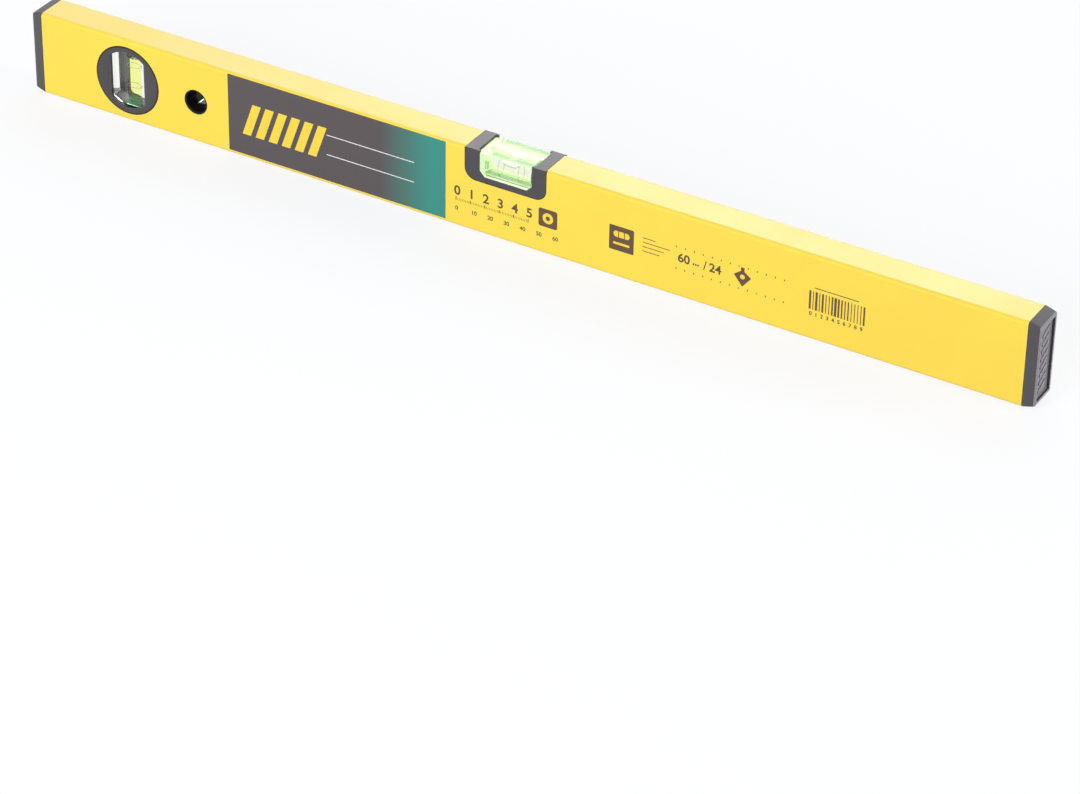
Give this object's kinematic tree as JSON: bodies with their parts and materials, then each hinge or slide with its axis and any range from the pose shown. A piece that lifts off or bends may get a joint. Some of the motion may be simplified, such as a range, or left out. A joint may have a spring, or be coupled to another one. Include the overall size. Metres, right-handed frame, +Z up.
{
  "type": "box beam level",
  "caption": "Long yellow box beam level with a vial window let into the top edge, a round plumb vial and a lined hanging hole near the left end, and dark end caps.",
  "frame": {"origin": "under the middle of the beam, on the plane of the measuring face that it stands on", "axes": "+X along the beam, to the end without the plumb vial; -Y out of the printed front face; +Z up, to the edge that holds the level vial"},
  "size_m": [0.61, 0.0208, 0.05],
  "materials": {
    "yellow_coating": "smooth warm yellow powder coating on an extruded aluminium beam",
    "cap_plastic": "fine-grained dark grey moulded plastic",
    "frame_plastic": "fine-grained dark grey moulded plastic",
    "sleeve_plastic": "smooth black moulded plastic",
    "clear_acrylic": "clear polished acrylic",
    "plug_acrylic": "pale green acrylic disc welded into the bore",
    "vial_liquid": "clear yellow-green liquid",
    "bubble_gas": "clear gas bubble",
    "ring_black": "thin black marking ring",
    "cast_resin": "cast resin, set hard and slightly cloudy",
    "printed_foil": null
  },
  "bodies": {
    "beam": {"beam_profile": "yellow_coating", "end_cap_left": "cap_plastic", "end_cap_right": "cap_plastic", "level_vial_frame": "frame_plastic", "level_vial_block": "clear_acrylic", "plumb_vial_block": "clear_acrylic", "level_vial_fluid": "vial_liquid", "plumb_vial_fluid": "vial_liquid", "level_ring_left": "ring_black", "level_ring_right": "ring_black", "plumb_ring_upper": "ring_black", "plumb_ring_lower": "ring_black", "level_vial_plug": "plug_acrylic", "plumb_vial_plug": "plug_acrylic", "level_resin_bed": "cast_resin", "plumb_resin_left": "cast_resin", "plumb_resin_right": "cast_resin", "plumb_bezel_front": "frame_plastic", "plumb_bezel_rear": "frame_plastic", "hang_sleeve_front": "sleeve_plastic", "hang_sleeve_rear": "sleeve_plastic", "front_label": "printed_foil"},
    "level_bubble": {"level_bubble": "bubble_gas"},
    "plumb_bubble": {"plumb_bubble": "bubble_gas"}
  },
  "joints": [
    {"name": "level_bubble_slide", "type": "slide", "parent": "beam", "child": "level_bubble", "axis": [1, 0, 0], "range_m": [-0.0079, 0.0079], "stiffness_N_per_m": 2, "deforming": ["level_vial_fluid"]},
    {"name": "plumb_bubble_slide", "type": "slide", "parent": "beam", "child": "plumb_bubble", "axis": [0, 0, 1], "range_m": [-0.0226, 0], "stiffness_N_per_m": 2, "springref_m": 0.02, "deforming": ["plumb_vial_fluid"]}
  ]
}
